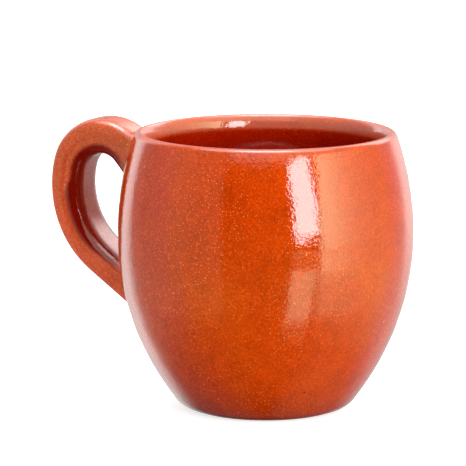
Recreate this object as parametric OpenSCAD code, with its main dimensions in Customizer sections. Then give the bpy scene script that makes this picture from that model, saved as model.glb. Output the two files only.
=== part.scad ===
// Small barrel shaped clay mug: a thrown cup and a pulled handle, joined with slip and glazed.
// Z is up, the foot stands on Z 0, the cup's axis is the Z axis, and the handle points along -X.

/* [Cup] */
// Height of the cup, from the table to the top of its lip
cup_h = 88; // [80:1:105]
// Radius of the belly at its widest
belly_r = 46.6; // [42:0.2:54]
// Height of the widest place of the belly
belly_z = 56; // [50:1:62]
// Radius of the curve from the belly up to the lip
shoulder_arc_r = 94; // [84:1:140]
// Radius of the curve from the belly down to the foot
hip_arc_r = 86; // [80:1:120]
// Radius of the rounded edge round the foot
foot_edge_r = 8.5; // [5:0.5:12]

/* [Wall] */
// Thickness of the finished wall, glaze and clay together
wall_t = 4.2; // [3.4:0.1:6]
// Thickness of the finished floor
floor_t = 6; // [4:0.5:9]
// Radius of the hollow corner between floor and wall
floor_edge_r = 16; // [8:1:20]

/* [Glaze] */
// Thickness of the fired glaze
glaze_t = 0.3; // [0.2:0.05:0.5]
// Height of the bare clay edge that is wiped clean above the table
bare_edge_h = 1; // [0.6:0.1:2]

/* [Handle] */
// How far the handle stands out from the belly
handle_reach = 28; // [24:0.5:34]
// How far the top of the handle rises above the lip
handle_rise = 1.2; // [-4:0.2:6]
// Radius of the tight bend at the top, to the middle of the strap
top_bend_r = 12.4; // [11:0.2:15]
// Radius of the wide bend that the fingers hold, to the middle of the strap
grip_bend_r = 28.6; // [24:0.2:34]
// Angle at which the strap leaves the wall, up from level
root_angle = 50; // [35:1:60]
// Angle at which the top bend passes into the grip bend, down from level
bend_change_angle = 75; // [65:1:82]
// Angle at which the strap comes back to the wall, below level
tail_angle = 35; // [28:1:42]

/* [Strap] */
// Width of the strap where it is pulled thin, at the top root
strap_top_w = 13.6; // [11:0.2:18]
// Width of the strap where it is pressed on, at the lower root
strap_low_w = 17.6; // [13:0.2:22]
// Thickness of the strap at the top root
strap_top_t = 11.2; // [8:0.2:13]
// Thickness of the strap at the lower root
strap_low_t = 9.4; // [7:0.2:13]
// Radius of the strap's four rounded edges
strap_edge_r = 3.4; // [1.6:0.1:3.5]

/* [Slip joints] */
// Thickness of the slip between the strap and the wall
slip_t = 0.8; // [0.5:0.1:1.5]
// How far the slip stands out round the strap, at the wall
slip_flare = 2.4; // [1.2:0.1:3.5]
// Thickness of the slip at its outer rim, where it ends on the strap
slip_rim_t = 0.4; // [0.3:0.05:0.8]
// Length of the strap that each slip joint covers outside the wall
slip_cover_l = 4; // [2.5:0.25:6]

/* [Hidden] */
$fn = 96;

// Steps in each round stretch of the cup's outline
wall_steps = 12;
edge_steps = 8;
lip_steps = 10;
// Steps in one rounded edge of the strap, and along each stretch of it
corner_steps = 4;
run_steps = 3;
top_steps = 14;
grip_steps = 9;
tail_steps = 4;
collar_steps = 5;

// A ceramic surface lies at offset 0 where it is glazed, and at this offset where it is clay
clay = -glaze_t;

// Centres of the cup's curves, as radius and height
shoulder_c = [belly_r - shoulder_arc_r, belly_z];
hip_c = [belly_r - hip_arc_r, belly_z];
lip_r = wall_t / 2;
lip_z = cup_h - lip_r;
lip_a = asin((lip_z - belly_z) / (shoulder_arc_r - lip_r));
lip_c = shoulder_c + (shoulder_arc_r - lip_r) * [cos(lip_a), sin(lip_a)];

// Points along an arc, without its first
function arc(c, r, from, to, steps) =
    [for (i = [1:steps]) let (a = from + (to - from) * i / steps) c + r * [cos(a), sin(a)]];

// The foot's edge: its radius, its centre and the angle where it runs into the hip
function foot_r(o) = foot_edge_r + o;
function foot_a(o) = -asin((belly_z - foot_r(o)) / (hip_arc_r - foot_edge_r));
function foot_c(o) = hip_c + (hip_arc_r - foot_edge_r) * [cos(foot_a(o)), sin(foot_a(o))];
function bare_a(o) = asin(bare_edge_h / foot_r(o) - 1);

// The cup's outside, from where the bare edge ends up to the crest of the lip
function glazed_side(o) = concat(
    [foot_c(o) + foot_r(o) * [cos(bare_a(o)), sin(bare_a(o))]],
    arc(foot_c(o), foot_r(o), bare_a(o), foot_a(o), edge_steps),
    arc(hip_c, hip_arc_r + o, foot_a(o), 0, wall_steps),
    arc(shoulder_c, shoulder_arc_r + o, 0, lip_a, wall_steps),
    arc(lip_c, lip_r + o, lip_a, 90, lip_steps));

// The bare foot, from the axis to where the glaze begins
function bare_foot(o) = concat(
    [[0, 0], [foot_c(o)[0], 0]],
    arc(foot_c(o), foot_r(o), -90, bare_a(o), edge_steps));

// The hollow, from the crest of the lip to the middle of the floor
well_r = hip_arc_r - wall_t - floor_edge_r;
well_z = floor_t + floor_edge_r;
well_a = -asin((belly_z - well_z) / well_r);
well_c = hip_c + well_r * [cos(well_a), sin(well_a)];
function hollow(o) = concat(
    arc(lip_c, lip_r + o, 90, 180 + lip_a, lip_steps),
    arc(shoulder_c, shoulder_arc_r - wall_t - o, lip_a, 0, wall_steps),
    arc(hip_c, hip_arc_r - wall_t - o, 0, well_a, wall_steps),
    arc(well_c, floor_edge_r - o, well_a, -90, edge_steps),
    [[0, floor_t + o]]);

function reversed(list) = [for (i = [len(list) - 1:-1:0]) list[i]];
function last(list) = list[len(list) - 1];
function without_last(list) = [for (i = [0:len(list) - 2]) list[i]];

// The whole cup without its hollow, for cutting what is joined to its outside
module filled_cup(o) {
    side = concat(without_last(bare_foot(o)), glazed_side(o));
    rotate_extrude() polygon(concat(side, [[0, last(side)[1]]]));
}

module clay_cup() {
    color("peru")
        rotate_extrude()
            polygon(concat(without_last(bare_foot(clay)), glazed_side(clay), hollow(clay)));
}

// The coat's crest is split between the outside and the lining
module outer_glaze() {
    color("orangered")
        difference() {
            rotate_extrude() polygon(concat(glazed_side(0), reversed(glazed_side(clay))));
            strap();
            upper_collar();
            lower_collar();
        }
}

module inner_glaze() {
    crest = last(glazed_side(0));
    under_crest = last(glazed_side(clay));
    color("firebrick")
        rotate_extrude()
            polygon(concat([crest], hollow(0), reversed(hollow(clay)), [under_crest]));
}

// The strap's route lies in the XZ plane: distance out from the axis, and height
strap_mid_t = (strap_top_t + strap_low_t) / 2;
grip_c_x = belly_r + handle_reach - strap_mid_t / 2 - grip_bend_r;
bend_shift = grip_bend_r - top_bend_r;
top_c_z = cup_h + handle_rise - strap_top_t / 2 - top_bend_r;
top_c = [grip_c_x + bend_shift * sin(bend_change_angle), top_c_z];
grip_c = top_c - bend_shift * [sin(bend_change_angle), cos(bend_change_angle)];
root_dir = [cos(root_angle), sin(root_angle)];
tail_dir = [-cos(tail_angle), -sin(tail_angle)];
root_end = top_c + top_bend_r * [-sin(root_angle), cos(root_angle)];
tail_start = grip_c + grip_bend_r * [sin(tail_angle), -cos(tail_angle)];

// How far a straight line runs from point p, along d, until it enters the circle round c
function run_to_circle(p, d, c, r) =
    let (v = p - c, b = v * d) -b - sqrt(b * b - v * v + r * r);
root_l = run_to_circle(root_end, -root_dir, shoulder_c, shoulder_arc_r);
tail_l = run_to_circle(tail_start, tail_dir, hip_c, hip_arc_r);

// How deep each straight run goes on into the cup, where the cup cuts it off
root_depth = strap_top_t / 2 + slip_flare;
tail_depth = strap_low_t + slip_flare;

// Lengths of the four stretches, and of the whole route
root_run = root_l + root_depth;
top_run = top_bend_r * (root_angle + bend_change_angle) * PI / 180;
grip_run = grip_bend_r * (180 - bend_change_angle - tail_angle) * PI / 180;
tail_run = tail_l + tail_depth;
top_at = root_run;
grip_at = top_at + top_run;
tail_at = grip_at + grip_run;
route_l = tail_at + tail_run;

// Heading of the strap at distance s along its route, and the point there
function heading(s) =
    s < top_at ? root_angle
    : s < grip_at ? root_angle - (s - top_at) / top_bend_r * 180 / PI
    : s < tail_at ? -bend_change_angle - (s - grip_at) / grip_bend_r * 180 / PI
    : tail_angle - 180;
function spot(s) =
    let (a = heading(s), left = [-sin(a), cos(a)])
    s < top_at ? root_end - (top_at - s) * root_dir
    : s < grip_at ? top_c + top_bend_r * left
    : s < tail_at ? grip_c + grip_bend_r * left
    : tail_start + (s - tail_at) * tail_dir;

// A rounded slab's outline in the strap's own cross section, grown all round by g
function slab(w, t, g) =
    [for (k = [0:3], i = [0:corner_steps])
        let (a = 90 * (k + i / corner_steps),
             side_x = (k == 0 || k == 3) ? 1 : -1,
             side_y = k < 2 ? 1 : -1)
        [side_x * (t / 2 - strap_edge_r) + (strap_edge_r + g) * cos(a),
         side_y * (w / 2 - strap_edge_r) + (strap_edge_r + g) * sin(a)]];

// The slab at distance s, in the cup's own frame
function ring(s, g) =
    let (share = s / route_l,
         w = strap_top_w + (strap_low_w - strap_top_w) * share,
         t = strap_top_t + (strap_low_t - strap_top_t) * share,
         a = heading(s),
         p = spot(s))
    [for (q = slab(w, t, g)) [-(p[0] - q[0] * sin(a)), -q[1], p[1] + q[0] * cos(a)]];

// Side faces between rings of n points, the first point being number at
function ring_sides(rings, n, at) =
    [for (j = [0:rings - 2], i = [0:n - 1])
        let (a = at + j * n + i, b = at + j * n + (i + 1) % n)
        each [[a, b, b + n], [a, b + n, a + n]]];

// A solid through rings at [distance, growth], closed by a flat face at each end
module swept(rings) {
    points = [for (r = rings) each ring(r[0], r[1])];
    n = len(points) / len(rings);
    start = [for (i = [n - 1:-1:0]) i];
    end = [for (i = [0:n - 1]) len(points) - n + i];
    polyhedron(points, concat(ring_sides(len(rings), n, 0), [start, end]), convexity = 6);
}

// A tube between two such surfaces with as many rings, open at both ends
module swept_coat(outside, inside) {
    out_points = [for (r = outside) each ring(r[0], r[1])];
    in_points = [for (r = inside) each ring(r[0], r[1])];
    m = len(out_points);
    n = m / len(outside);
    in_sides = [for (f = ring_sides(len(inside), n, m)) reversed(f)];
    ends = [for (i = [0:n - 1])
        let (j = (i + 1) % n, p = m - n + i, q = m - n + j)
        each [[i, m + i, m + j], [i, m + j, j], [p, q, q + m], [p, q + m, p + m]]];
    faces = concat(ring_sides(len(outside), n, 0), in_sides, ends);
    polyhedron(concat(out_points, in_points), faces, convexity = 8);
}

function spread(from, to, steps) = [for (i = [0:steps - 1]) from + (to - from) * i / steps];
strap_stops = concat(
    spread(0, top_at, run_steps),
    spread(top_at, grip_at, top_steps),
    spread(grip_at, tail_at, grip_steps),
    spread(tail_at, route_l, tail_steps),
    [route_l]);

module strap() {
    swept([for (s = strap_stops) [s, clay]]);
}

// Slip fillet round the strap, from the start inside the wall to the rim outside it
function flare(start, rim, o) =
    [for (i = [0:collar_steps])
        let (share = i / collar_steps)
        [start + (rim - start) * share, slip_rim_t + (slip_flare - slip_rim_t) * pow(1 - share, 2) + o]];
function upper_rim(o) = root_depth + slip_cover_l + o;
function lower_rim(o) = tail_at + tail_l - slip_cover_l - o;

// The last ring dips into the strap, so that the rim ends as a clean step
module upper_collar() {
    rim = upper_rim(clay);
    swept(concat(flare(0, rim, clay), [[rim + slip_rim_t, clay - slip_rim_t]]));
}

module lower_collar() {
    rim = lower_rim(clay);
    swept(reversed(concat(flare(route_l, rim, clay), [[rim - slip_rim_t, clay - slip_rim_t]])));
}

// The whole handle's surface at offset o: both fillets, and the strap between their rims
step_l = slip_rim_t / 2;
bare_stops = [for (s = strap_stops) if (s > upper_rim(0) + slip_rim_t && s < lower_rim(0) - slip_rim_t) s];
function handle_skin(o) = concat(
    flare(0, upper_rim(o), o),
    [[upper_rim(o) + step_l, o]],
    [for (s = bare_stops) [s, o]],
    [[lower_rim(o) - step_l, o]],
    reversed(flare(route_l, lower_rim(o), o)));

// The strap's ends stop short of the wall, by the thickness of the slip between them
module cut_strap() {
    difference() {
        strap();
        filled_cup(clay + slip_t);
    }
}

module pulled_handle() {
    color("chocolate") cut_strap();
}

module slip_joint() {
    difference() {
        children();
        cut_strap();
        filled_cup(clay);
    }
}

module upper_slip_joint() {
    color("sandybrown") slip_joint() upper_collar();
}

module lower_slip_joint() {
    color("sandybrown") slip_joint() lower_collar();
}

module handle_glaze() {
    color("tomato")
        difference() {
            swept_coat(handle_skin(0), handle_skin(clay));
            filled_cup(0);
        }
}

clay_cup();
pulled_handle();
upper_slip_joint();
lower_slip_joint();
outer_glaze();
inner_glaze();
handle_glaze();
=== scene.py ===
import math
import bmesh
import bpy
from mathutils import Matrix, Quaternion, Vector


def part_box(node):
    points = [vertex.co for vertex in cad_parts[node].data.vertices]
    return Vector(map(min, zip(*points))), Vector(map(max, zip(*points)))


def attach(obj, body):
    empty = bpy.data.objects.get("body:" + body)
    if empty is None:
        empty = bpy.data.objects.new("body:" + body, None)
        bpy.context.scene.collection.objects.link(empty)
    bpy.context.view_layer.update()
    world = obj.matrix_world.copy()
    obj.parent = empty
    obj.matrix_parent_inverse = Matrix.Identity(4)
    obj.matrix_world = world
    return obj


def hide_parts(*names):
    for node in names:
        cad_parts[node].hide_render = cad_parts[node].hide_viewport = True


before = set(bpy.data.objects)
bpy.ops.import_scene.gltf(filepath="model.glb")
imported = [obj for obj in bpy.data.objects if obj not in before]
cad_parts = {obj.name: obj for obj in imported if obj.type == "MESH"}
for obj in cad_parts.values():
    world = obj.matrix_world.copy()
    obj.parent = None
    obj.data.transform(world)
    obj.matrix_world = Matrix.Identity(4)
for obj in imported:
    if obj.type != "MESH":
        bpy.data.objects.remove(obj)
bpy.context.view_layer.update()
print("frame loaded:", len(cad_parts), "nodes")

mm = 0.001


# helpers for meshes

mesh = {
    "weld": 0.004 * mm,     # points closer than this are joined
    "level": 0.01 * mm,     # points this close to a height count as lying at it
    "sharpAngle": 60,       # an edge stays sharp when its faces meet at more degrees than this
}


# share of the way from start to end, held between 0 and 1
def shareBetween(value, start, end):
    return min(1, max(0, (value - start) / (end - start)))


def deselectAll():
    if bpy.context.object and bpy.context.object.mode != "OBJECT":
        bpy.ops.object.mode_set(mode="OBJECT")
    bpy.ops.object.select_all(action="DESELECT")


def makeActive(piece):
    deselectAll()
    piece.select_set(True)
    bpy.context.view_layer.objects.active = piece


def applyModifier(piece, kind, name, **settings):
    makeActive(piece)
    modifier = piece.modifiers.new(name, kind)
    for key, value in settings.items():
        setattr(modifier, key, value)
    bpy.ops.object.modifier_apply(modifier=modifier.name)


def subdivide(piece, name, levels):
    applyModifier(piece, "SUBSURF", name, levels=levels, render_levels=levels)


def tidyNormals(piece):
    makeActive(piece)
    bpy.ops.object.mode_set(mode="EDIT")
    bpy.ops.mesh.select_all(action="SELECT")
    bpy.ops.mesh.remove_doubles(threshold=mesh["weld"])
    bpy.ops.mesh.normals_make_consistent(inside=False)
    bpy.ops.object.mode_set(mode="OBJECT")
    bpy.ops.object.shade_smooth_by_angle(angle=math.radians(mesh["sharpAngle"]))


# in edit mode: selects the points whose place passes the test
def selectWhere(piece, test):
    edited = bmesh.from_edit_mesh(piece.data)
    for vert in edited.verts:
        vert.select = test(vert.co)
    edited.select_flush(True)
    bmesh.update_edit_mesh(piece.data)


# in edit mode: extrudes the selected ring and moves each new point by its own rule
def moveRing(piece, mover):
    bpy.ops.mesh.extrude_region_move()
    edited = bmesh.from_edit_mesh(piece.data)
    for vert in edited.verts:
        if vert.select:
            vert.co = mover(vert.co.copy())
    bmesh.update_edit_mesh(piece.data)


# in edit mode: fills the selected open ring and draws it to a centre point
def closeRing():
    bpy.ops.mesh.edge_face_add()
    bpy.ops.mesh.poke()


# helpers for materials and the room

# sRGB hex to the linear colour a socket wants
def linearColour(hexText):
    values = [int(hexText[i:i + 2], 16) / 255 for i in (0, 2, 4)]
    return [v / 12.92 if v <= 0.04045 else ((v + 0.055) / 1.055) ** 2.4 for v in values] + [1]


# one node: its properties, its socket values, and the links that come in
def addNode(tree, kind, settings=None, inputs=None, links=None):
    node = tree.nodes.new(kind)
    for key, value in (settings or {}).items():
        setattr(node, key, value)
    for key, value in (inputs or {}).items():
        node.inputs[key].default_value = value
    for key, source in (links or {}).items():
        tree.links.new(source, node.inputs[key])
    return node


def addNoise(tree, place, size, detail, roughness=0.5):
    return addNode(tree, "ShaderNodeTexNoise",
                   inputs={"Scale": 1 / size, "Detail": detail, "Roughness": roughness},
                   links={"Vector": place}).outputs["Fac"]


def addRamp(tree, share, stops):
    node = addNode(tree, "ShaderNodeValToRGB", links={"Fac": share})
    ramp = node.color_ramp
    while len(ramp.elements) > 1:
        ramp.elements.remove(ramp.elements[-1])
    for i, (place, colour) in enumerate(stops):
        element = ramp.elements[0] if i == 0 else ramp.elements.new(place)
        element.position = place
        element.color = colour
    return node.outputs["Color"]


def toneRamp(tree, share, places, tones):
    return addRamp(tree, share, [(place, linearColour(tone)) for place, tone in zip(places, tones)])


# a value carried from one span to another, and held at its ends
def remap(tree, value, fromSpan, toSpan=(0, 1), kind="LINEAR"):
    return addNode(tree, "ShaderNodeMapRange", {"interpolation_type": kind},
                   {"From Min": fromSpan[0], "From Max": fromSpan[1],
                    "To Min": toSpan[0], "To Max": toSpan[1]},
                   {"Value": value}).outputs["Result"]


# one colour over another by a share; the upper one is a list, or the socket of another node
def layOver(tree, share, below, above, blend="MIX"):
    node = addNode(tree, "ShaderNodeMix", {"data_type": "RGBA", "blend_type": blend},
                   links={0: share, 6: below})
    if isinstance(above, list):
        node.inputs[7].default_value = above
    else:
        tree.links.new(above, node.inputs[7])
    return node.outputs[2]


def multiply(tree, first, second):
    return addNode(tree, "ShaderNodeMath", {"operation": "MULTIPLY"},
                   links={0: first, 1: second}).outputs["Value"]


def scaleColour(tree, colour, amount):
    return addNode(tree, "ShaderNodeVectorMath", {"operation": "SCALE"},
                   links={0: colour, "Scale": amount}).outputs["Vector"]


def addBump(tree, height, depth, strength=1, under=None):
    links = {"Height": height}
    if under is not None:
        links["Normal"] = under
    return addNode(tree, "ShaderNodeBump", inputs={"Strength": strength, "Distance": depth},
                   links=links).outputs["Normal"]


def newMaterial(name):
    material = bpy.data.materials.new(name)
    material.use_nodes = True
    material.node_tree.nodes.clear()
    return material, material.node_tree


# the cup: the same curves as the real wall, in metres

cup = {
    "height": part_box("outer_glaze")[1][2],
    "bellyRadius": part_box("outer_glaze")[1][0],
    "bellyHeight": 56 * mm,
    "shoulderRadius": 94 * mm,
    "hipRadius": 86 * mm,
    "footEdge": 8.5 * mm,
    "wall": 4.2 * mm,
    "floor": 6 * mm,
    "floorEdge": 16 * mm,
    "glaze": 0.3 * mm,
    "bareEdge": 1 * mm,             # the foot is wiped bare up to here
    "lipDrop": 5 * mm,              # inside, the pressed lip is a roll that is taller than it is wide
    "lipJoin": 71 * mm,             # height at which the roll has run out into the wall
    "lipPull": 4 * mm,              # handles of the curve that eases from the roll into the wall
    "joinPull": 4 * mm,
    "lipSteps": 6,
    "floorRings": (0.6, 0.25),      # shares of the flat floor's radius
    "poleReach": 0.3,               # share of it that holds the ring nearest the axis
    "throwingRidge": 0.05 * mm,     # height of the ridges that the fingers leave on the wall
    "throwingPitch": 5.2 * mm,      # height between two of them
    "throwingDrift": (0.6, 0.43, 1.1),   # a second, slower wave: height, pace and start beside the first
    "ridgesBegin": (8 * mm, 20 * mm),    # heights over which they fade in above the foot
    "ridgesEnd": (7 * mm, 17 * mm),      # and depths under the lip over which they fade out
    "segments": 64,                 # round the cup
    "backSegments": 48,             # and round the hidden back of the coat
    "frontOutside": (15, 6),        # rings on each arc of the wall, and round each rounded edge
    "frontInside": (8, 6),
    "backOutside": (8, 5),
    "backInside": (6, 5),
    "clayOutside": (10, 5),
    "clayInside": (8, 5),
}


# a point at so many degrees round a centre, as (radius, height)
def polar(centre, radius, angle):
    a = math.radians(angle)
    return (centre[0] + radius * math.cos(a), centre[1] + radius * math.sin(a))


# points along an arc, without its first
def arcPoints(centre, radius, start, end, steps):
    return [polar(centre, radius, start + (end - start) * i / steps) for i in range(1, steps + 1)]


shoulderCentre = (cup["bellyRadius"] - cup["shoulderRadius"], cup["bellyHeight"])
hipCentre = (cup["bellyRadius"] - cup["hipRadius"], cup["bellyHeight"])
lipRadius = cup["wall"] / 2
lipReach = cup["shoulderRadius"] - lipRadius
lipAngle = math.degrees(math.asin((cup["height"] - lipRadius - cup["bellyHeight"]) / lipReach))
lipCentre = polar(shoulderCentre, lipReach, lipAngle)
wellReach = cup["hipRadius"] - cup["wall"] - cup["floorEdge"]
wellDrop = cup["bellyHeight"] - cup["floor"] - cup["floorEdge"]
wellAngle = -math.degrees(math.asin(wellDrop / wellReach))
wellCentre = polar(hipCentre, wellReach, wellAngle)


# centre and radius of the foot's rounded edge, and the angle where the hip begins
def footEdge(offset):
    radius = cup["footEdge"] + offset
    reach = cup["hipRadius"] - cup["footEdge"]
    angle = -math.degrees(math.asin((cup["bellyHeight"] - radius) / reach))
    return polar(hipCentre, reach, angle), radius, angle


# angle round the foot's edge at which the glaze ends
def bareAngle(radius):
    return math.degrees(math.asin(cup["bareEdge"] / radius - 1))


# from the bare edge of the foot up to the crest of the lip
def outsideProfile(offset, wallSteps, edgeSteps):
    centre, radius, hipStart = footEdge(offset)
    bare = bareAngle(radius)
    return (
        [polar(centre, radius, bare)]
        + arcPoints(centre, radius, bare, hipStart, edgeSteps)
        + arcPoints(hipCentre, cup["hipRadius"] + offset, hipStart, 0, wallSteps)
        + arcPoints(shoulderCentre, cup["shoulderRadius"] + offset, 0, lipAngle, wallSteps)
        + arcPoints(lipCentre, lipRadius + offset, lipAngle, 90, edgeSteps)
    )


# from the crest of the lip down to the floor, and in to near the axis
def insideProfile(offset, wallSteps, edgeSteps):
    innerRadius = cup["shoulderRadius"] - cup["wall"] - offset
    joinAngle = math.degrees(math.asin((cup["lipJoin"] - cup["bellyHeight"]) / innerRadius))
    join = polar(shoulderCentre, innerRadius, joinAngle)

    # the roll is a quarter of an oval
    across, down = lipRadius + offset, cup["lipDrop"] + offset
    rollSteps = edgeSteps + 3
    roll = []
    for i in range(1, rollSteps + 1):
        a = math.pi / 2 * i / rollSteps
        roll.append((lipCentre[0] - across * math.sin(a),
                     cup["height"] - cup["lipDrop"] + down * math.cos(a)))

    # from the roll a curve with four handles eases into the wall
    a = math.radians(joinAngle)
    handles = [roll[-1], (roll[-1][0], roll[-1][1] - cup["lipPull"]),
               (join[0] - cup["joinPull"] * math.sin(a), join[1] + cup["joinPull"] * math.cos(a)), join]
    blend = []
    for i in range(1, cup["lipSteps"] + 1):
        t = i / cup["lipSteps"]
        weights = ((1 - t) ** 3, 3 * t * (1 - t) ** 2, 3 * t * t * (1 - t), t ** 3)
        blend.append(tuple(sum(w * h[k] for w, h in zip(weights, handles)) for k in (0, 1)))

    return (
        roll + blend
        + arcPoints(shoulderCentre, innerRadius, joinAngle, 0, wallSteps)
        + arcPoints(hipCentre, cup["hipRadius"] - cup["wall"] - offset, 0, wellAngle, wallSteps)
        + arcPoints(wellCentre, cup["floorEdge"] - offset, wellAngle, -90, edgeSteps)
        + [(wellCentre[0] * share, cup["floor"] + offset) for share in cup["floorRings"]]
    )


# the finger marks of throwing, as slight swells of the wall, none at the lip or the foot
def ridged(points):
    def swell(height):
        under = cup["height"] - height
        fade = shareBetween(height, *cup["ridgesBegin"]) * shareBetween(under, *cup["ridgesEnd"])
        turn = math.tau * height / cup["throwingPitch"]
        share, pace, start = cup["throwingDrift"]
        wave = math.sin(turn) + share * math.sin(pace * turn + start)
        return cup["throwingRidge"] * fade * wave
    return [(r + swell(z), z) for r, z in points]


# a pot raised ring by ring: a circle, then extrude, scale and lift for each ring
def turnRings(name, rings, segments):
    deselectAll()
    radius, height = rings[0]
    bpy.ops.mesh.primitive_circle_add(vertices=segments, radius=radius, location=(0, 0, height))
    piece = bpy.context.object
    piece.name = name
    bpy.ops.object.transform_apply(location=True, rotation=False, scale=False)
    bpy.ops.object.mode_set(mode="EDIT")
    bpy.ops.mesh.select_all(action="SELECT")
    for nextRadius, nextHeight in rings[1:]:
        lift = (0, 0, nextHeight - height)
        bpy.ops.mesh.extrude_region_move(TRANSFORM_OT_translate={"value": lift})
        grow = nextRadius / radius
        bpy.ops.transform.resize(value=(grow, grow, 1), center_override=(0, 0, nextHeight))
        radius, height = nextRadius, nextHeight
    bpy.ops.object.mode_set(mode="OBJECT")
    return piece


# closes the open ring round the axis at this height
def closePole(piece, height):
    reach = wellCentre[0] * cup["poleReach"]
    makeActive(piece)
    bpy.ops.object.mode_set(mode="EDIT")
    bpy.ops.mesh.select_all(action="DESELECT")
    selectWhere(piece, lambda p: abs(p.z - height) < mesh["level"] and math.hypot(p.x, p.y) < reach)
    closeRing()
    bpy.ops.object.mode_set(mode="OBJECT")


# the whole mug leans and swells a little by one cloud pattern, as a hand-thrown one does

wobble = {
    "size": 70 * mm,
    "strength": 0.5 * mm,
}


def makeHandWobble():
    clouds = bpy.data.textures.new("handWobble", "CLOUDS")
    clouds.noise_scale = wobble["size"]
    clouds.noise_depth = 0
    clouds.cloud_type = "COLOR"
    return clouds


handWobble = makeHandWobble()


def addWobble(piece):
    applyModifier(piece, "DISPLACE", "handWobble", texture=handWobble, texture_coords="LOCAL",
                  direction="RGB_TO_XYZ", mid_level=0.5, strength=wobble["strength"])


# outer radius of the glazed wall at this height
def wallRadius(height):
    if height > cup["bellyHeight"]:
        centre, radius = shoulderCentre, cup["shoulderRadius"]
    else:
        centre, radius = hipCentre, cup["hipRadius"]
    return centre[0] + math.sqrt(max(radius ** 2 - (height - centre[1]) ** 2, 0))


# a point attribute for the glaze: 1 inside the cup, 0 outside
def markLining(piece):
    values = piece.data.attributes.new("lining", "FLOAT", "POINT")
    for vert, value in zip(piece.data.vertices, values.data):
        height, radius = vert.co.z, math.hypot(vert.co.x, vert.co.y)
        if height > lipCentre[1]:
            middle = lipCentre[0]
        else:
            middle = wallRadius(max(height, cup["bareEdge"])) - cup["wall"] / 2
        value.value = 1.0 if radius < middle else 0.0


# the gloss coat in one skin, from the bare foot over the lip to the middle of the floor
# its hidden back against the clay is a coarser skin of its own, bridged to the front at the bare foot
def makeGlazeCoat():
    front = ridged(outsideProfile(0, *cup["frontOutside"])) + insideProfile(0, *cup["frontInside"])
    piece = turnRings("glazeCoat", front, cup["segments"])
    closePole(piece, cup["floor"])
    subdivide(piece, "smoothGlaze", 2)

    under = -cup["glaze"]
    crest = polar(lipCentre, lipRadius + under, 90)
    back = insideProfile(under, *cup["backInside"])[::-1] + [crest]
    back += outsideProfile(under, *cup["backOutside"])[-2::-1]
    backSkin = turnRings("glazeBack", back, cup["backSegments"])
    closePole(backSkin, cup["floor"] + under)
    subdivide(backSkin, "smoothBack", 1)

    deselectAll()
    backSkin.select_set(True)
    piece.select_set(True)
    bpy.context.view_layer.objects.active = piece
    bpy.ops.object.join()
    bpy.ops.object.mode_set(mode="EDIT")
    bpy.ops.mesh.select_all(action="DESELECT")
    selectWhere(piece, lambda p: p.z < cup["bareEdge"] + mesh["level"])
    bpy.ops.mesh.bridge_edge_loops()
    bpy.ops.object.mode_set(mode="OBJECT")
    tidyNormals(piece)
    markLining(piece)
    addWobble(piece)
    tidyNormals(piece)
    return piece


foot = {
    "dish": 0.35 * mm,                              # the wire leaves the foot a little hollow
    "dishRings": (0.2, 0.5, 0.75, 0.86),            # shares of the foot's radius that are hollow
    "standRings": ((0.90, 0.05 * mm), (0.93, 0)),   # and the step down to the ring that it stands on
    "edgeSteps": 4,
}


# the thrown cup under its glaze: only the sponged bare foot shows
def makeClayCup():
    under = -cup["glaze"]
    centre, radius, hipStart = footEdge(under)
    flat = centre[0]
    base = [(flat * share, foot["dish"]) for share in foot["dishRings"]]
    base += [(flat * share, height) for share, height in foot["standRings"]] + [(flat, 0)]
    edge = arcPoints(centre, radius, -90, bareAngle(radius), foot["edgeSteps"])
    wall = outsideProfile(under, *cup["clayOutside"])[1:] + insideProfile(under, *cup["clayInside"])
    piece = turnRings("thrownCup", base + edge + wall, cup["segments"])
    closePole(piece, cup["floor"] + under)
    closePole(piece, foot["dish"])
    tidyNormals(piece)
    subdivide(piece, "smoothClay", 1)
    addWobble(piece)
    tidyNormals(piece)
    return piece


# the handle: a pulled strap along two bends, flared where it is smoothed on to the wall

strap = {
    "reach": 28 * mm,          # how far it stands out from the belly
    "rise": 1.2 * mm,          # and above the lip
    "topBend": 12.4 * mm,      # radii of the two bends, along the middle of the strap
    "gripBend": 28.6 * mm,
    "rootAngle": 50,           # how steeply it leaves the upper root, in degrees
    "bendChange": 75,          # how steeply it falls where the top bend hands over to the grip
    "tailAngle": 35,           # and how steeply it comes back to the hip
    "tailLength": 4 * mm,      # straight piece after the grip
    "topWidth": 13.6 * mm,
    "lowWidth": 17.6 * mm,
    "topThickness": 11.2 * mm,
    "lowThickness": 9.4 * mm,
    "squareness": 3.7,         # of the outer half: 2 is an ellipse, more is boxier
    "innerSquareness": 4.4,    # of the half round the fingers
    "innerFill": 0.8 * mm,     # the inner half is a little fuller
    "taper": 0.056,            # the strap is wider outwards
    "innerTaper": 0.14,        # and narrower towards the fingers
    "grooves": ((2.1 * mm, 0.7 * mm, 0.2 * mm), (-0.9 * mm, 0.8 * mm, 0.24 * mm)),  # place, reach, depth
    "points": 44,              # round the strap
    "samples": 720,            # of its outline, from which those points are spaced evenly
    "topSteps": 16,
    "gripSteps": 12,
    "endReach": 9 * mm,        # from the middle of its end to beyond its corners
}

# the slip fillet at each root, and the glaze that hides it
root = {
    "across": 3.6 * mm,        # how far it spreads on the wall
    "along": 4.6 * mm,         # and up the strap
    "rings": ((0.40, 0.04), (0.27, 0.14), (0.18, 0.30)),  # its curve, as shares of along and across
    "toe": 0.42,               # share of across at which it meets the wall
    "toeLift": 0.02 * mm,
    "hemStart": 2 * mm,        # how far off the wall the hem's direction is measured
    "hemReach": 0.8 * mm,      # it goes on this far beyond the toe
    "hemDepth": 0.25 * mm,     # just under the wall's surface
    "capShare": 0.4,           # the cap inside the wall is drawn in to this share
    "capDepth": 0.6 * mm,
}


def unit(angle):
    a = math.radians(angle)
    return Vector((math.cos(a), math.sin(a)))


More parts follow.
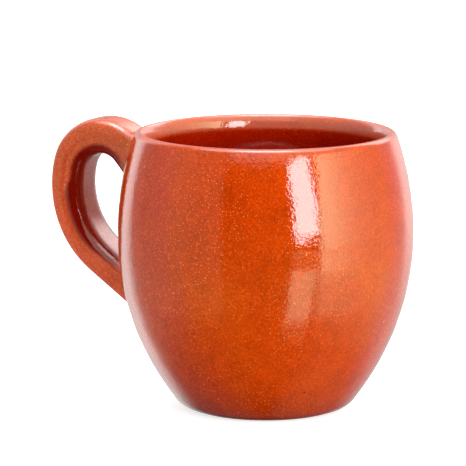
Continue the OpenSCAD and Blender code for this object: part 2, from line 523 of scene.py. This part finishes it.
# a spot on a bend where the strap heads this way, as (out, up)
def onBend(centre, radius, direction):
    return centre + radius * Vector((-direction.y, direction.x))


strapMiddle = (strap["topThickness"] + strap["lowThickness"]) / 2
bendShift = strap["gripBend"] - strap["topBend"]
gripX = cup["bellyRadius"] + strap["reach"] - strapMiddle / 2 - strap["gripBend"]
topCentre = Vector((gripX + bendShift * math.sin(math.radians(strap["bendChange"])),
                    cup["height"] + strap["rise"] - strap["topThickness"] / 2 - strap["topBend"]))
gripCentre = topCentre - bendShift * unit(strap["bendChange"]).yx
rootDirection = unit(strap["rootAngle"])
tailDirection = -unit(strap["tailAngle"])
rootEnd = onBend(topCentre, strap["topBend"], rootDirection)
tailStart = onBend(gripCentre, strap["gripBend"], tailDirection)


# a spot on the strap's route, out from the axis and up, in the cup's frame
def inCup(spot):
    return Vector((-spot.x, 0, spot.y))


def strapWidth(share):
    return strap["topWidth"] + (strap["lowWidth"] - strap["topWidth"]) * share


def strapThickness(share):
    return strap["topThickness"] + (strap["lowThickness"] - strap["topThickness"]) * share


# how far it is from a point outside the wall, along a direction, until it meets the wall
def toWall(point, direction):
    def inside(distance):
        p = point + direction * distance
        return math.hypot(p.x, p.y) < wallRadius(p.z)

    far, step, longest = 0.0, 0.25 * mm, 60 * mm
    while far < longest:
        if inside(far):
            low, high = far - step, far
            for _ in range(20):
                middle = (low + high) / 2
                if inside(middle):
                    high = middle
                else:
                    low = middle
            return low
        far += step
    return far


# outward normal of the wall near this point
def wallNormal(point):
    rise = 0.5 * mm
    lean = (wallRadius(point.z - rise) - wallRadius(point.z + rise)) / (2 * rise)
    outwards = Vector((point.x, point.y, 0)).normalized()
    return (outwards + Vector((0, 0, lean))).normalized()


# the spot on the wall at this point's height, lifted off it or sunk in
def onWall(point, lift):
    outwards = Vector((point.x, point.y, 0)).normalized()
    return outwards * wallRadius(point.z) + Vector((0, 0, point.z)) + wallNormal(point) * lift


# the fillet: back along the strap, down in rings to its toe on the wall,
# a hem just under the wall's surface, and a cap inside the wall
def smoothRoot(piece, direction, axisSpot):
    along, across = root["along"], root["across"]

    def axisAt(p):
        return axisSpot + direction * (p - axisSpot).dot(direction)

    # where this point of the ring meets the wall, and which way the fillet spreads there
    def spread(p):
        hit = p + direction * toWall(p, direction)
        away = hit - axisAt(hit)
        normal = wallNormal(hit)
        away -= normal * away.dot(normal)
        return hit, away.normalized()

    def toStrap(p):
        return p + direction * (toWall(p, direction) - along)

    def toRing(alongShare, acrossShare):
        def mover(p):
            away = spread(p)[1]
            return p + direction * along * alongShare + away * across * acrossShare
        return mover

    def toToe(p):
        hit, away = spread(p)
        return onWall(hit + away * across * root["toe"], root["toeLift"])

    def toHem(p):
        away = spread(p + wallNormal(p) * root["hemStart"])[1]
        return onWall(p + away * root["hemReach"], -root["hemDepth"])

    def toCap(p):
        middle = axisAt(p)
        return onWall(middle + (p - middle) * root["capShare"], -root["capDepth"])

    moveRing(piece, toStrap)
    for shares in root["rings"]:
        moveRing(piece, toRing(*shares))
    moveRing(piece, toToe)
    moveRing(piece, toHem)
    moveRing(piece, toCap)
    closeRing()


# the strap's cross section, evenly spaced points as (outwards, across): a squared oval with grooved sides
def strapSection(width, thickness):
    outline = []
    for i in range(strap["samples"]):
        a = math.tau * i / strap["samples"]
        inner = math.cos(a) < 0
        power = 2 / strap["innerSquareness" if inner else "squareness"]
        halfDeep = thickness / 2 + (strap["innerFill"] if inner else 0)
        t = math.copysign(abs(math.cos(a)) ** power, math.cos(a)) * halfDeep
        w = math.copysign(abs(math.sin(a)) ** power, math.sin(a)) * width / 2
        w *= 1 + strap["innerTaper" if inner else "taper"] * t / halfDeep
        groove = sum(depth * math.exp(-((t - place) / reach) ** 2)
                     for place, reach, depth in strap["grooves"])
        w -= math.copysign(groove, w)
        outline.append(Vector((t, w)))
    lengths = [0]
    for a, b in zip(outline, outline[1:] + outline[:1]):
        lengths.append(lengths[-1] + (b - a).length)
    points, i = [], 0
    for n in range(strap["points"]):
        while lengths[i + 1] < lengths[-1] * n / strap["points"]:
            i += 1
        points.append(outline[i])
    return points


# the route of the strap from root to tail, as stops of (spot, heading, share of the way)
def strapStops():
    first, change, last = strap["rootAngle"], -strap["bendChange"], strap["tailAngle"] - 180
    stops = [(rootEnd, first)]
    for i in range(1, strap["topSteps"] + 1):
        heading = first + (change - first) * i / strap["topSteps"]
        stops.append((onBend(topCentre, strap["topBend"], unit(heading)), heading))
    for i in range(1, strap["gripSteps"] + 1):
        heading = change + (last - change) * i / strap["gripSteps"]
        stops.append((onBend(gripCentre, strap["gripBend"], unit(heading)), heading))
    stops.append((tailStart + tailDirection * strap["tailLength"], last))
    lengths = [0]
    for (a, _), (b, _) in zip(stops, stops[1:]):
        lengths.append(lengths[-1] + (b - a).length)
    return [(spot, heading, length / lengths[-1]) for (spot, heading), length in zip(stops, lengths)]


# extrudes, turns and scales the ring from stop to stop
def extrudeStrap(stops):
    for (spotA, headingA, shareA), (spotB, headingB, shareB) in zip(stops, stops[1:]):
        step = inCup(spotB) - inCup(spotA)
        bpy.ops.mesh.extrude_region_move(TRANSFORM_OT_translate={"value": step})
        turn = math.radians(headingB - headingA)
        if abs(turn) > 1e-6:
            bpy.ops.transform.rotate(value=-turn, orient_axis="Y", center_override=inCup(spotB))
        wider = strapWidth(shareB) / strapWidth(shareA)
        thicker = strapThickness(shareB) / strapThickness(shareA)
        bpy.ops.transform.resize(value=(thicker, wider, thicker), center_override=inCup(spotB))


# painted shade along the inner corners of the strap, where the cup shades the handle
cornerShade = {
    "start": 0.4 * mm,             # how far in from the middle of the strap it begins
    "rise": 1.3 * mm,              # and how much further in it is full
    "gripMiddle": 57 * mm,         # height at which it begins nearest the middle of the strap
    "gripSpan": (6.4 * mm, 14.4 * mm),  # distances above or below that over which it draws back
    "drawBack": 1.6 * mm,
    "corner": (0.45, 0.7),         # shares of the half width over which it gathers in the corner
    "faceShare": 0.25,             # how much of it lies on the inner face
    "clear": (1.5 * mm, 5.5 * mm),      # distances from the wall over which it sets in
}


# a point attribute for the glaze: 1 where the painted shade is full
def markCornerShade(piece):
    values = piece.data.attributes.new("cornerShade", "FLOAT", "POINT")
    handOver = unit(90 - strap["bendChange"]).yx
    for vert, value in zip(piece.data.vertices, values.data):
        height, radius = vert.co.z, math.hypot(vert.co.x, vert.co.y)
        spot = Vector((-vert.co.x, height))
        past = (spot - tailStart).dot(tailDirection)
        if past > 0:
            inward = (spot - tailStart - tailDirection * past).dot((gripCentre - tailStart).normalized())
        elif spot.x > gripCentre.x and (spot - topCentre).dot(handOver) < 0:
            inward = strap["gripBend"] - (spot - gripCentre).length
        else:
            inward = strap["topBend"] - (spot - topCentre).length
        draw = shareBetween(abs(height - cornerShade["gripMiddle"]), *cornerShade["gripSpan"])
        start = cornerShade["start"] + cornerShade["drawBack"] * draw
        along = shareBetween(inward, start, start + cornerShade["rise"])
        across = shareBetween(abs(vert.co.y) / (strap["topWidth"] / 2), *cornerShade["corner"])
        away = radius - wallRadius(min(max(height, cup["bareEdge"]), cup["height"]))
        gathered = cornerShade["faceShare"] + (1 - cornerShade["faceShare"]) * across
        value.value = along * gathered * shareBetween(away, *cornerShade["clear"])


def makeHandle():
    deselectAll()
    bpy.ops.mesh.primitive_circle_add(vertices=strap["points"], radius=1, location=(0, 0, 0))
    piece = bpy.context.object
    piece.name = "handleCoat"
    bpy.ops.object.mode_set(mode="EDIT")

    # the circle becomes the strap's section at the upper root
    edited = bmesh.from_edit_mesh(piece.data)
    ring = sorted(edited.verts, key=lambda v: math.atan2(v.co.y, v.co.x) % math.tau)
    for vert, (t, w) in zip(ring, strapSection(strapWidth(0), strapThickness(0))):
        vert.co = (-(rootEnd.x - t * rootDirection.y), w, rootEnd.y + t * rootDirection.x)
    bmesh.update_edit_mesh(piece.data)
    bpy.ops.mesh.select_all(action="SELECT")
    extrudeStrap(strapStops())

    smoothRoot(piece, inCup(tailDirection), inCup(tailStart))
    bpy.ops.mesh.select_all(action="DESELECT")
    back, end = inCup(-rootDirection), inCup(rootEnd)
    selectWhere(piece, lambda p: abs((p - end).dot(back)) < 2 * mesh["level"]
                and (p - end).length < strap["endReach"])
    smoothRoot(piece, back, end)
    bpy.ops.object.mode_set(mode="OBJECT")
    tidyNormals(piece)
    subdivide(piece, "smoothStrap", 2)
    markCornerShade(piece)
    addWobble(piece)
    tidyNormals(piece)
    return piece


glazeCoat = makeGlazeCoat()
print("glaze coat:", len(glazeCoat.data.polygons), "faces")
thrownCup = makeClayCup()
print("thrown cup:", len(thrownCup.data.polygons), "faces")
handleCoat = makeHandle()
print("handle:", len(handleCoat.data.polygons), "faces")

coatNodes = ("outer_glaze", "inner_glaze")
handleNodes = ("handle_glaze", "pulled_handle", "upper_slip_joint", "lower_slip_joint")
for piece, slot, nodes in ((glazeCoat, "outer_glaze", coatNodes),
                           (thrownCup, "bare_clay", ("clay_cup",)),
                           (handleCoat, "handle_glaze", handleNodes)):
    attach(piece, "root")
    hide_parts(*nodes)


# glazed red earthenware: clear lead-free gloss over coarse red clay, dipped and fired at about 1000 C
# an orange-red body with pale grit and a few iron spots, under a wet coat that ripples like orange peel
# most of the real grit is finer than this, and the grain and the two smaller grits are drawn coarser

glaze = {
    "body": ("a63603", "ae3b04", "b54506"),        # deep, middle and warm clay
    "handleBodyAndSheen": ("ba4628", "c24c2c", "ca5836"),  # painted reflection: the handle's tones are browner, standing in for the pale veil it reflects
    "cloudSize": 26 * mm,                          # the three tones lie in slow clouds
    "cloudStops": (0.3, 0.52, 0.75),
    "grainSize": 0.7 * mm,
    "grainTone": (0.78, 1.22),                     # darkest and lightest grain, as times the body
    "mottleSize": 5 * mm,
    "mottleTone": (0.91, 1.09),
    "noiseSpan": (0.3, 0.7),                       # values that nearly all of a noise lies between
    "grit": "f4b06c",
    "grits": ((0.65 * mm, 0.34, 0.6, 0.38), (1.2 * mm, 0.19, 0.5, 0.5),
              (3.9 * mm, 0.07, 0.4, 0.8)),         # spacing, reach of a dot, share of cells, strength
    "driftSize": 30 * mm,                          # the grit lies in drifts
    "driftSeed": 3.7,                              # this seed puts them high on the left of the front
    "driftSpan": (0.42, 0.6),
    "driftShare": (0.35, 1.25),
    "iron": "3a1610",
    "ironSpacing": 13 * mm,
    "ironReach": (0.035, 0.02),                    # shares of the spacing, from the spot's rim to its core
    "ironStrength": 0.6,
    "cupMarks": (((27.8, 25.4, 85.6), 0.8), ((-26.6, -38.1, 49.2), 0.4)),     # ones that stand out:
    "handleMarks": (((-55.4, -3.2, 88.7), 0.7), ((-55.9, -3.2, 88.7), 0.5)),  # place and radius in mm
    "markCore": 0.6,                               # share of their radius that is fully dark
    "low": "f9dacb",                               # painted shade: darker and redder towards the foot
    "handleFootShade": "ffffff",
    "footShadeSpan": (2 * mm, 45 * mm),
    "upper": "ffe8dc",                             # the upper half was nearer the fire, a redder orange
    "handleUpper": "f2fcf6",
    "upperSpan": (45 * mm, 75 * mm),
    "lining": "f69c74",                            # painted shade inside the cup: the lining is tinted deeper below the lip
    "liningShadeSpan": (84.5 * mm, 82 * mm),
    "lipReflection": "dc8474",                          # painted reflection: a pale band inside the lip, under the crest
    "lipReflectionSpan": (82.8 * mm, 84.2 * mm),
    "lipReflectionShare": 0.36,
    "cornerShade": "a03c28",                              # painted shade along the handle's inner corners
    "rippleSize": 4.5 * mm,
    "rippleDepth": 0.04 * mm,
    "peelSize": 1.0 * mm,
    "peelDepth": 0.045 * mm,
    "coatIor": 1.75,
    "hazeSpan": (0.35, 0.65),
    "haze": (0.012, 0.04),                         # roughness of the coat, in patches
}


def makeGlazeMaterial(name, tones, footShadeTint, upperTint, marks):
    material, tree = newMaterial(name)
    place = addNode(tree, "ShaderNodeTexCoord").outputs["Object"]
    height = addNode(tree, "ShaderNodeSeparateXYZ", links={"Vector": place}).outputs["Z"]
    lining = addNode(tree, "ShaderNodeAttribute", {"attribute_name": "lining"}).outputs["Fac"]
    cornerShaded = addNode(tree, "ShaderNodeAttribute", {"attribute_name": "cornerShade"}).outputs["Fac"]

    def tinted(share, below, hexText):
        return layOver(tree, share, below, linearColour(hexText), "MULTIPLY")

    # the body in its clouds, with grain and mottle
    cloud = addNoise(tree, place, glaze["cloudSize"], 3, 0.55)
    colour = toneRamp(tree, cloud, glaze["cloudStops"], tones)
    grain = addNoise(tree, place, glaze["grainSize"], 2)
    colour = scaleColour(tree, colour, remap(tree, grain, glaze["noiseSpan"], glaze["grainTone"]))
    mottle = addNoise(tree, place, glaze["mottleSize"], 3, 0.6)
    colour = scaleColour(tree, colour, remap(tree, mottle, glaze["noiseSpan"], glaze["mottleTone"]))

    # pale grit of three sizes: dots in some of the cells, each of its own strength
    drift = addNode(tree, "ShaderNodeTexNoise", {"noise_dimensions": "4D"},
                    {"W": glaze["driftSeed"], "Scale": 1 / glaze["driftSize"], "Detail": 2},
                    {"Vector": place}).outputs["Fac"]
    drifting = remap(tree, drift, glaze["driftSpan"], glaze["driftShare"])
    for spacing, reach, share, strongest in glaze["grits"]:
        cells = addNode(tree, "ShaderNodeTexVoronoi", inputs={"Scale": 1 / spacing},
                        links={"Vector": place})
        dot = remap(tree, cells.outputs["Distance"], (reach, reach / 2))
        pick = addNode(tree, "ShaderNodeSeparateColor", links={"Color": cells.outputs["Color"]})
        some = remap(tree, pick.outputs["Red"], (1 - share, 1), (0, strongest))
        shown = multiply(tree, multiply(tree, dot, some), drifting)
        colour = layOver(tree, shown, colour, linearColour(glaze["grit"]))

    # iron spots, spread at random, and the few that stand out
    iron = linearColour(glaze["iron"])
    cells = addNode(tree, "ShaderNodeTexVoronoi", inputs={"Scale": 1 / glaze["ironSpacing"]},
                    links={"Vector": place})
    spot = remap(tree, cells.outputs["Distance"], glaze["ironReach"], (0, glaze["ironStrength"]))
    colour = layOver(tree, spot, colour, iron)
    for markPlace, radius in marks:
        away = addNode(tree, "ShaderNodeVectorMath", {"operation": "DISTANCE"},
                       {1: [c * mm for c in markPlace]}, {0: place})
        near = remap(tree, away.outputs["Value"], (radius * mm, radius * mm * glaze["markCore"]))
        colour = layOver(tree, near, colour, iron)

    # how the tint goes with the height, with painted shade towards the foot, inside the cup and along the
    # handle's inner corners, and with a painted reflection inside the lip
    # painted shade: darker and redder towards the foot
    colour = tinted(remap(tree, height, glaze["footShadeSpan"], (1, 0)), colour, footShadeTint)
    colour = tinted(remap(tree, height, glaze["upperSpan"], kind="SMOOTHSTEP"), colour, upperTint)
    # painted shade inside the cup, deeper below the lip
    liningShade = multiply(tree, lining, remap(tree, height, glaze["liningShadeSpan"], kind="SMOOTHSTEP"))
    colour = tinted(liningShade, colour, glaze["lining"])
    # painted reflection: a pale band inside the lip
    paintedLipReflection = remap(tree, height, glaze["lipReflectionSpan"], (0, glaze["lipReflectionShare"]), "SMOOTHSTEP")
    colour = layOver(tree, multiply(tree, lining, paintedLipReflection), colour, linearColour(glaze["lipReflection"]))
    # painted shade along the handle's inner corners
    colour = tinted(cornerShaded, colour, glaze["cornerShade"])

    ripple = addNoise(tree, place, glaze["rippleSize"], 1)
    peel = addNoise(tree, place, glaze["peelSize"], 2, 0.6)
    rippled = addBump(tree, ripple, glaze["rippleDepth"])
    peeled = addBump(tree, peel, glaze["peelDepth"], under=rippled)
    haze = remap(tree, mottle, glaze["hazeSpan"], glaze["haze"])
    shader = addNode(tree, "ShaderNodeBsdfPrincipled",
                     inputs={"Roughness": 0.6, "IOR": 1.45, "Specular IOR Level": 0.0,
                             "Coat Weight": 1, "Coat IOR": glaze["coatIor"]},
                     links={"Coat Roughness": haze, "Base Color": colour,
                            "Normal": peeled, "Coat Normal": peeled})
    addNode(tree, "ShaderNodeOutputMaterial", links={"Surface": shader.outputs["BSDF"]})
    return material


# bare red earthenware, sponged at the foot: dry, gritty and a little paler than under the glaze
clay = {
    "body": "b5663c",
    "dark": "93492a",
    "pale": "d59a6e",
    "cloudSize": 9 * mm,                # the three tones lie in clouds
    "cloudStops": (0.3, 0.55, 0.8),
    "gritSize": 0.9 * mm,
    "gritDepth": 0.08 * mm,
    "wirePitch": 1.3 * mm,              # between two of the arcs that the wire leaves
    "wireDepth": 0.12 * mm,
    "wireCentre": (30 * mm, 12 * mm, 0),
    "waveLength": 0.314,                # between two rings of the wave texture at scale 1
}


def makeClayMaterial(name):
    material, tree = newMaterial(name)
    place = addNode(tree, "ShaderNodeTexCoord").outputs["Object"]
    cloud = addNoise(tree, place, clay["cloudSize"], 4)
    tones = (clay["dark"], clay["body"], clay["pale"])
    colour = toneRamp(tree, cloud, clay["cloudStops"], tones)
    grit = addNoise(tree, place, clay["gritSize"], 3)
    # the twisted wire that cuts the pot off the wheel leaves shell-shaped arcs
    shell = addNode(tree, "ShaderNodeMapping", inputs={"Location": clay["wireCentre"]},
                    links={"Vector": place})
    wire = addNode(tree, "ShaderNodeTexWave", {"wave_type": "RINGS", "rings_direction": "Z"},
                   {"Scale": clay["waveLength"] / clay["wirePitch"], "Distortion": 1.2, "Detail": 2},
                   {"Vector": shell.outputs["Vector"]})
    wired = addBump(tree, wire.outputs["Fac"], clay["wireDepth"], 0.7)
    gritted = addBump(tree, grit, clay["gritDepth"], 0.6, wired)
    shader = addNode(tree, "ShaderNodeBsdfPrincipled",
                     inputs={"Roughness": 0.85, "Specular IOR Level": 0.25},
                     links={"Base Color": colour, "Normal": gritted})
    addNode(tree, "ShaderNodeOutputMaterial", links={"Surface": shader.outputs["BSDF"]})
    return material


cupGlaze = makeGlazeMaterial("glazedRedEarthenware", glaze["body"], glaze["low"],
                             glaze["upper"], glaze["cupMarks"])
handleGlaze = makeGlazeMaterial("glazedRedEarthenwareHandle", glaze["handleBodyAndSheen"], glaze["handleFootShade"],
                                glaze["handleUpper"], glaze["handleMarks"])
bareClay = makeClayMaterial("bareRedEarthenware")

for piece, material in ((glazeCoat, cupGlaze), (handleCoat, handleGlaze), (thrownCup, bareClay)):
    piece.data.materials.clear()
    piece.data.materials.append(material)
print("materials set")


# the studio: camera at the photograph's angle, a white sweep, soft cards and one window

view = {
    "azimuth": 27,                  # the photograph's camera: degrees round the mug, and above it
    "elevation": 9.8,
    "distance": 1.2,
    "focalPixels": 3805.2,          # its focal length and the side of its picture, in pixels
    "frame": 466,
    "aimAcross": -10.265 * mm,      # the spot it looks at, beside the axis and above the foot
    "aimHeight": 55.483 * mm,
}


def makeCamera():
    a, e = math.radians(view["azimuth"]), math.radians(view["elevation"])
    back = Vector((math.sin(a) * math.cos(e), -math.cos(a) * math.cos(e), math.sin(e)))
    right = Vector((math.cos(a), math.sin(a), 0))
    aim = right * view["aimAcross"] + Vector((0, 0, view["aimHeight"]))
    camera = bpy.data.objects.new("camera", bpy.data.cameras.new("camera"))
    bpy.context.scene.collection.objects.link(camera)
    camera.location = aim + back * view["distance"]
    camera.rotation_mode = "QUATERNION"
    camera.rotation_quaternion = (-back).to_track_quat("-Z", "Y")
    camera.data.sensor_width = 36
    camera.data.lens = view["focalPixels"] / view["frame"] * camera.data.sensor_width
    camera.data.clip_start, camera.data.clip_end = 0.05, 20
    bpy.context.scene.camera = camera


# the room round the mug: radiance by azimuth to the right of the camera's direction, in degrees
studio = {
    "window": ((20.3, 38.3), (-3, 27.5), 8.6, 9),  # azimuths, elevations, radiance, lean
    "windowDistance": 1.0,
    "windowHeight": 50 * mm,                     # its elevations are counted from here
    "cards": ((-180, 0.5), (-152, 1.2), (-142, 2.1), (-132, 1.9), (-128, 0.52), (-112, 0.37),
              (-90, 0.45), (-72, 0.6), (-56, 0.42), (-36, 0.36), (-34.8, 0.01), (42.2, 0.01),
              (43, 4.7), (50, 4.2), (60, 3.1), (68, 2.3), (77, 1.7), (93, 1.1), (108, 0.8),
              (122, 0.62), (133, 0.85), (143, 1.8), (152, 1.5), (180, 0.5)),
    "lowCards": ((-180, 0.5), (-143, 1.8), (-131, 0.7), (-118, 0.45), (-90, 0.42), (-60, 0.34),
                 (-36, 0.29), (-34, 0.03), (42, 0.03), (45, 1.7), (60, 1.4), (77, 1.1), (93, 0.9),
                 (108, 1.0), (124, 0.75), (143, 0.8), (180, 0.5)),
    "cardRise": (-24, 0),                        # elevations from the low cards to the cards
    "nearTable": ((-180, 0.05), (-140, 0.22), (-100, 0.14), (-60, 0.08), (-20, 0.01), (30, 0.02),
                  (70, 0.26), (100, 0.26), (140, 0.22), (180, 0.05)),
    "tableRise": (-46, -22),                     # elevations from the table to the low cards
    "band": ((-180, 0.5), (-60, 0.5), (-36, 0.5), (-28, 1.1), (40, 1.25), (50, 1.5), (90, 1.0),
             (180, 0.5)),
    "bandRise": (25, 28),                        # elevations from the cards to the wall above them
    "backWall": ((-180, 0.8), (-165, 1.0), (-140, 1.6), (130, 3.4), (155, 3.3), (170, 1.1),
                 (180, 0.8)),
    "backRise": (14, 27),                        # the bright sweep behind the mug, from some way up
    "behind": (-0.4, -0.65),                     # cosines from the camera's direction, where it begins
    "overhead": 3.4,                             # a soft box above the mug
    "overheadRise": (53, 65),
    "lamp": 10.0,                                # and the lamp that glows in its middle
    "lampRise": (72, 79),
    "tableWindow": ((19, 40), (-40, -13), 2.15),  # the window again, mirrored by the table
    "tableLean": 0.12,
    "tableSoft": (1.5, 8, 2),                    # how soft its sides, its foot and its top are
    "warmCard": "fff4c2",                        # the cards to the sides are warm, the rest is white
    "warmSides": ((-75, -34), (34, 110)),
    "most": 10,                                  # the ramps hold up to 1, so radiance is divided by this
}


# level direction away from the mug, so many degrees to the right of the camera's
def towards(degrees):
    a = math.radians(view["azimuth"] + degrees)
    return Vector((math.sin(a), -math.cos(a), 0))


# the window: one lamp, as wide and tall as the mug sees it
def makeWindow():
    azimuths, elevations, radiance, lean = studio["window"]
    distance = studio["windowDistance"]
    low, high = (distance * math.tan(math.radians(e)) for e in elevations)
    halfTurn = math.radians(azimuths[1] - azimuths[0]) / 2
    outwards = towards(sum(azimuths) / 2)
    lamp = bpy.data.lights.new("window", "AREA")
    lamp.shape = "RECTANGLE"
    lamp.size, lamp.size_y = 2 * distance * math.tan(halfTurn), high - low
    lamp.energy = radiance * math.pi * lamp.size * lamp.size_y
    window = bpy.data.objects.new("window", lamp)
    bpy.context.scene.collection.objects.link(window)
    window.location = outwards * distance + Vector((0, 0, studio["windowHeight"] + (low + high) / 2))
    window.rotation_mode = "QUATERNION"
    roll = Quaternion((0, 0, 1), math.radians(lean))
    window.rotation_quaternion = (-outwards).to_track_quat("-Z", "Y") @ roll
    window.visible_camera = False


ground = {
    "size": 6,
    "colour": "d9d9d9",
    "glow": "f6f8fa",               # where the camera looks it glows a little, and runs out into the white
    "glowStrength": 0.8,
}


def makeFloor():
    deselectAll()
    bpy.ops.mesh.primitive_plane_add(size=ground["size"], location=(0, 0, 0))
    floor = bpy.context.object
    floor.name = "floor"
    material, tree = newMaterial("paleFloor")
    path = addNode(tree, "ShaderNodeLightPath")
    pale = addNode(tree, "ShaderNodeBsdfDiffuse",
                   inputs={"Color": linearColour(ground["colour"])}).outputs["BSDF"]
    glow = addNode(tree, "ShaderNodeEmission",
                   inputs={"Color": linearColour(ground["glow"]), "Strength": ground["glowStrength"]})
    lit = addNode(tree, "ShaderNodeAddShader", links={0: pale, 1: glow.outputs["Emission"]})
    shader = addNode(tree, "ShaderNodeMixShader",
                     links={0: path.outputs["Is Camera Ray"], 1: pale, 2: lit.outputs["Shader"]})
    addNode(tree, "ShaderNodeOutputMaterial", links={"Surface": shader.outputs["Shader"]})
    floor.data.materials.append(material)
    floor.visible_glossy = False      # the glaze mirrors the room below, not this floor


def makeWorld():
    world = bpy.data.worlds.new("studio")
    bpy.context.scene.world = world
    world.use_nodes = True
    tree = world.node_tree
    tree.nodes.clear()

    # where a ray goes: its turn from the camera's direction, and its lift above level
    way = addNode(tree, "ShaderNodeTexCoord").outputs["Generated"]
    toRight, toFront = (
        addNode(tree, "ShaderNodeVectorMath", {"operation": "DOT_PRODUCT"}, {1: towards(degrees)},
                {0: way}).outputs["Value"] for degrees in (90, 0))
    upward = addNode(tree, "ShaderNodeSeparateXYZ", links={"Vector": way}).outputs["Z"]
    turn = addNode(tree, "ShaderNodeMath", {"operation": "ARCTAN2"},
                   links={0: toRight, 1: toFront}).outputs["Value"]
    lift = addNode(tree, "ShaderNodeMath", {"operation": "ARCSINE"}, links={0: upward}).outputs["Value"]

    def glow(radiance, tint="ffffff"):
        return [c * radiance / studio["most"] for c in linearColour(tint)[:3]] + [1]

    def byTurn(name):
        stops = []
        for degree, radiance in studio[name]:
            warm = any(start < degree < end for start, end in studio["warmSides"])
            stops.append(((degree + 180) / 360, glow(radiance, studio["warmCard"] if warm else "ffffff")))
        return addRamp(tree, remap(tree, turn, (-math.pi, math.pi)), stops)

    # 0 to 1 as an angle goes from start to end, in degrees
    def rise(angle, start, end):
        return remap(tree, angle, (math.radians(start), math.radians(end)), kind="SMOOTHSTEP")

    # from the table up: low cards, cards, the wall above them, the sweep behind, the soft box, its lamp
    room = layOver(tree, rise(lift, *studio["tableRise"]), byTurn("nearTable"), byTurn("lowCards"))
    room = layOver(tree, rise(lift, *studio["cardRise"]), room, byTurn("cards"))
    room = layOver(tree, rise(lift, *studio["bandRise"]), room, byTurn("band"))
    behind = remap(tree, toFront, studio["behind"], kind="SMOOTHSTEP")
    swept = multiply(tree, behind, rise(lift, *studio["backRise"]))
    room = layOver(tree, swept, room, byTurn("backWall"))
    room = layOver(tree, rise(lift, *studio["overheadRise"]), room, glow(studio["overhead"]))
    room = layOver(tree, rise(lift, *studio["lampRise"]), room, glow(studio["lamp"]))

    # the window in the table: its sides lean, so its turn is counted with a share of the lift
    (left, right), (bottom, top), radiance = studio["tableWindow"]
    side, base, head = studio["tableSoft"]
    shift = studio["tableLean"] * (bottom + top) / 2
    leaning = addNode(tree, "ShaderNodeMath", {"operation": "MULTIPLY_ADD"}, {1: -studio["tableLean"]},
                      {0: lift, 2: turn}).outputs["Value"]
    across = multiply(tree, rise(leaning, left - shift - side, left - shift + side),
                      rise(leaning, right - shift + side, right - shift - side))
    upDown = multiply(tree, rise(lift, bottom - base, bottom + base), rise(lift, top + head, top - head))
    room = layOver(tree, multiply(tree, across, upDown), room, glow(radiance, studio["warmCard"]))
    bright = addNode(tree, "ShaderNodeVectorMath", {"operation": "SCALE"}, {"Scale": studio["most"]},
                     {0: room}).outputs["Vector"]

    # plain white where the camera looks, and the soft room for all else
    path = addNode(tree, "ShaderNodeLightPath")
    seen = layOver(tree, path.outputs["Is Camera Ray"], bright, linearColour("ffffff"))
    sky = addNode(tree, "ShaderNodeBackground", links={"Color": seen})
    addNode(tree, "ShaderNodeOutputWorld", links={"Surface": sky.outputs["Background"]})


makeCamera()
makeFloor()
makeWorld()
makeWindow()
bpy.context.scene.view_settings.view_transform = "Standard"
print("studio set")
